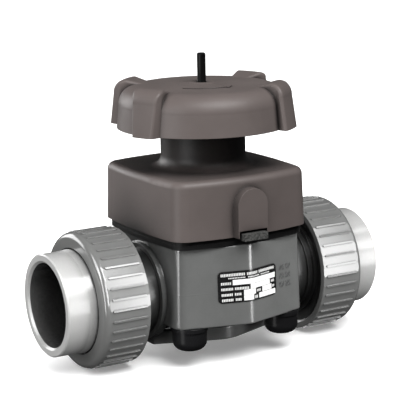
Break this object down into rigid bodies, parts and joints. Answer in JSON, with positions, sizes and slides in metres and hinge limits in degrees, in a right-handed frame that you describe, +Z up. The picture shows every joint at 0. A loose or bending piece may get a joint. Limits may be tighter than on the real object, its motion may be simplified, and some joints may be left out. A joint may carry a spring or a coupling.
{
  "type": "diaphragm valve",
  "caption": "Plastic true-union weir diaphragm valve with a lobed handwheel, rising position stem, ribbed union nuts and plain pipe sockets.",
  "frame": {"origin": "middle of the footprint on the surface that the two union nuts rest on, under the stem axis", "axes": "+X along the pipe towards the right-hand socket as seen from the label, -Y out of the labelled front, +Z up along the stem"},
  "size_m": [0.26, 0.1428, 0.2174],
  "materials": {
    "body_plastic": "smooth moulded grey PVC, glossy",
    "nut_plastic": "smooth moulded grey PVC, glossy, ribbed",
    "connector_plastic": "turned grey PVC, semi-gloss",
    "bonnet_plastic": "filled polypropylene, fine grain, satin",
    "wheel_plastic": "filled polypropylene, fine grain, satin",
    "cap_plastic": "black moulded plastic",
    "stem_plastic": "black, semi-gloss",
    "compressor_plastic": "moulded",
    "diaphragm_rubber": "moulded rubber",
    "cushion_rubber": "moulded rubber",
    "seal_rubber": "smooth rubber",
    "steel": "turned stainless steel",
    "brass": "turned brass",
    "label": "black printed film with blank white fields"
  },
  "bodies": {
    "valve": {"valve_body": "body_plastic", "body_end_left": "body_plastic", "body_end_right": "body_plastic", "mounting_inserts": "brass", "end_connector_left": "connector_plastic", "end_connector_right": "connector_plastic", "union_oring_left": "seal_rubber", "union_oring_right": "seal_rubber", "diaphragm": "diaphragm_rubber", "diaphragm_cushion": "cushion_rubber", "diaphragm_web": "diaphragm_rubber", "bonnet": "bonnet_plastic", "bonnet_inserts": "brass", "body_bolts": "steel", "bolt_washers": "steel", "bolt_caps": "cap_plastic", "rating_label": "label", "thrust_washer_lower": "steel", "thrust_washer_upper": "steel", "bearing_ring": "brass", "bush_seal": "seal_rubber"},
    "handwheel": {"handwheel": "wheel_plastic", "stem_bush": "brass", "handwheel_key": "steel", "retaining_ring": "steel", "hub_cap": "wheel_plastic", "indicator_seal": "seal_rubber"},
    "spindle": {"spindle": "steel", "compressor": "compressor_plastic", "compressor_pin": "steel", "diaphragm_stud": "steel", "indicator_stem": "stem_plastic"},
    "nut_left": {"union_nut_left": "nut_plastic"},
    "nut_right": {"union_nut_right": "nut_plastic"}
  },
  "joints": [
    {"name": "handwheel_turn", "type": "hinge", "parent": "valve", "child": "handwheel", "pos_m": [0, 0, 0.17], "axis": [0, 0, 1], "range_deg": [-1800, 0]},
    {"name": "spindle_slide", "type": "slide", "parent": "valve", "child": "spindle", "axis": [0, 0, 1], "range_m": [-0.02, 0], "deforming": ["diaphragm_web"]},
    {"name": "nut_left_turn", "type": "hinge", "parent": "valve", "child": "nut_left", "pos_m": [-0.09, 0, 0.0496], "axis": [-1, 0, 0], "range_deg": [0, 1440]},
    {"name": "nut_right_turn", "type": "hinge", "parent": "valve", "child": "nut_right", "pos_m": [0.09, 0, 0.0496], "axis": [1, 0, 0], "range_deg": [0, 1440]}
  ],
  "couplings": [
    {"joint": "spindle_slide", "follows": "handwheel_turn", "m_per_rad": 0.0006366}
  ]
}
